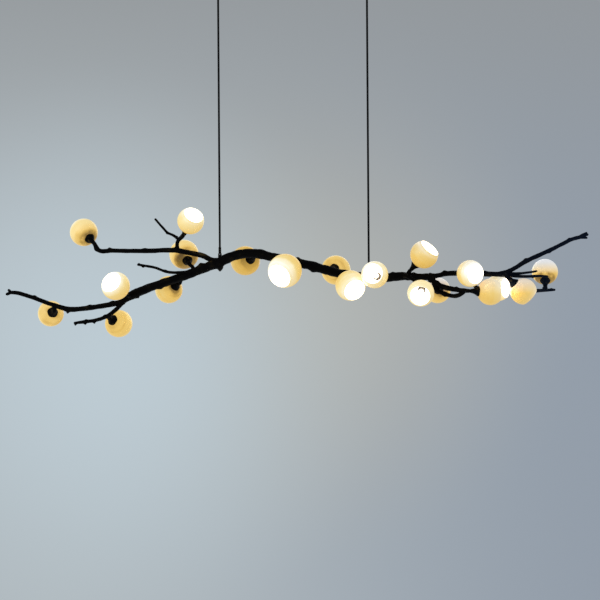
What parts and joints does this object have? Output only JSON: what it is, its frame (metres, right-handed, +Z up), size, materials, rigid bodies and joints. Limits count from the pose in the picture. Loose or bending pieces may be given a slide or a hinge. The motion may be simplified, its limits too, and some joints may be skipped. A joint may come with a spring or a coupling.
{
  "type": "branch chandelier",
  "caption": "Ceiling light: a dark cast branch with side limbs and twigs carries open-mouthed opal globes, and hangs level from a long canopy on slim gimballed rods.",
  "frame": {"origin": "middle of the ceiling plate's top face, on the ceiling and halfway between the two rods", "axes": "+Z up, out of the ceiling face; +X along the canopy and the branch, to the right as seen from the front; +Y away from the front"},
  "size_m": [1.959, 0.3108, 1.2115],
  "materials": {
    "blackened_bronze": "cast bronze, blackened and waxed, with olive-brown on the worn ridges",
    "dark_fittings": "turned brass, blackened",
    "black_enamel": "satin black enamel",
    "zinc_steel": "zinc-plated steel",
    "lead_sheath": "black PVC sheath",
    "opal_glass": "thick opal glass, cream to amber, lit from inside",
    "frosted_bulb": "frosted capsule, lit",
    "holder_ceramic": "unglazed ceramic",
    "grommet_rubber": "moulded rubber",
    "driver_case": "white moulded case",
    "terminal_plastic": "natural moulded nylon",
    "brass_stud": "bright brass"
  },
  "bodies": {
    "canopy": {"ceiling_plate": "zinc_steel", "canopy_cover": "black_enamel", "cover_screws": "zinc_steel", "plate_screws": "zinc_steel", "cable_grommet": "grommet_rubber", "led_driver": "driver_case", "terminal_block": "terminal_plastic", "earth_stud": "brass_stud", "canopy_leads": "lead_sheath", "swivel_brackets": "zinc_steel"},
    "gimbal_left": {"gimbal_ring_left": "zinc_steel", "sway_pin_left": "zinc_steel"},
    "rod_left": {"rod_eye_left": "zinc_steel", "hanger_rod_left": "black_enamel", "rod_lead_left": "lead_sheath", "rod_ferrule_left": "dark_fittings"},
    "gimbal_right": {"gimbal_ring_right": "zinc_steel", "sway_pin_right": "zinc_steel"},
    "rod_right": {"rod_eye_right": "zinc_steel", "hanger_rod_right": "black_enamel", "rod_lead_right": "lead_sheath", "rod_ferrule_right": "dark_fittings"},
    "branch": {"trunk": "blackened_bronze", "left_limb": "blackened_bronze", "lower_left_twig": "blackened_bronze", "upper_left_limb": "blackened_bronze", "right_limb": "blackened_bronze", "lower_right_limb": "blackened_bronze", "long_right_twig": "blackened_bronze", "lower_right_strand": "blackened_bronze", "small_twigs": "blackened_bronze", "branch_harness": "lead_sheath", "shade_spurs": "blackened_bronze", "calyxes": "blackened_bronze", "lampholders": "holder_ceramic", "retaining_rings": "dark_fittings", "bulbs": "frosted_bulb", "hanger_lugs": "dark_fittings", "lug_pins": "zinc_steel", "finial_nuts": "dark_fittings", "shade_01": "opal_glass", "shade_02": "opal_glass", "shade_03": "opal_glass", "shade_04": "opal_glass", "shade_05": "opal_glass", "shade_06": "opal_glass", "shade_07": "opal_glass", "shade_08": "opal_glass", "shade_09": "opal_glass", "shade_10": "opal_glass", "shade_11": "opal_glass", "shade_12": "opal_glass", "shade_13": "opal_glass", "shade_14": "opal_glass", "shade_15": "opal_glass", "shade_16": "opal_glass", "shade_17": "opal_glass", "shade_18": "opal_glass", "shade_19": "opal_glass", "shade_20": "opal_glass"}
  },
  "joints": [
    {"name": "swing", "type": "hinge", "parent": "canopy", "child": "gimbal_left", "pos_m": [-0.25, 0, -0.025], "axis": [1, 0, 0], "range_deg": [-8, 8]},
    {"name": "swing_right", "type": "hinge", "parent": "canopy", "child": "gimbal_right", "pos_m": [0.25, 0, -0.025], "axis": [1, 0, 0], "range_deg": [-8, 8]},
    {"name": "sway", "type": "hinge", "parent": "gimbal_left", "child": "rod_left", "pos_m": [-0.25, 0, -0.025], "axis": [0, 1, 0], "range_deg": [-5, 5]},
    {"name": "sway_right", "type": "hinge", "parent": "gimbal_right", "child": "rod_right", "pos_m": [0.25, 0, -0.025], "axis": [0, 1, 0], "range_deg": [-5, 5]},
    {"name": "branch_level", "type": "hinge", "parent": "rod_left", "child": "branch", "pos_m": [-0.25, 0, -0.9332], "axis": [0, 1, 0], "range_deg": [-5, 5]}
  ],
  "couplings": [
    {"joint": "swing_right", "follows": "swing", "ratio": 1},
    {"joint": "sway_right", "follows": "sway", "ratio": 0.9416},
    {"joint": "branch_level", "follows": "sway", "ratio": -1}
  ]
}
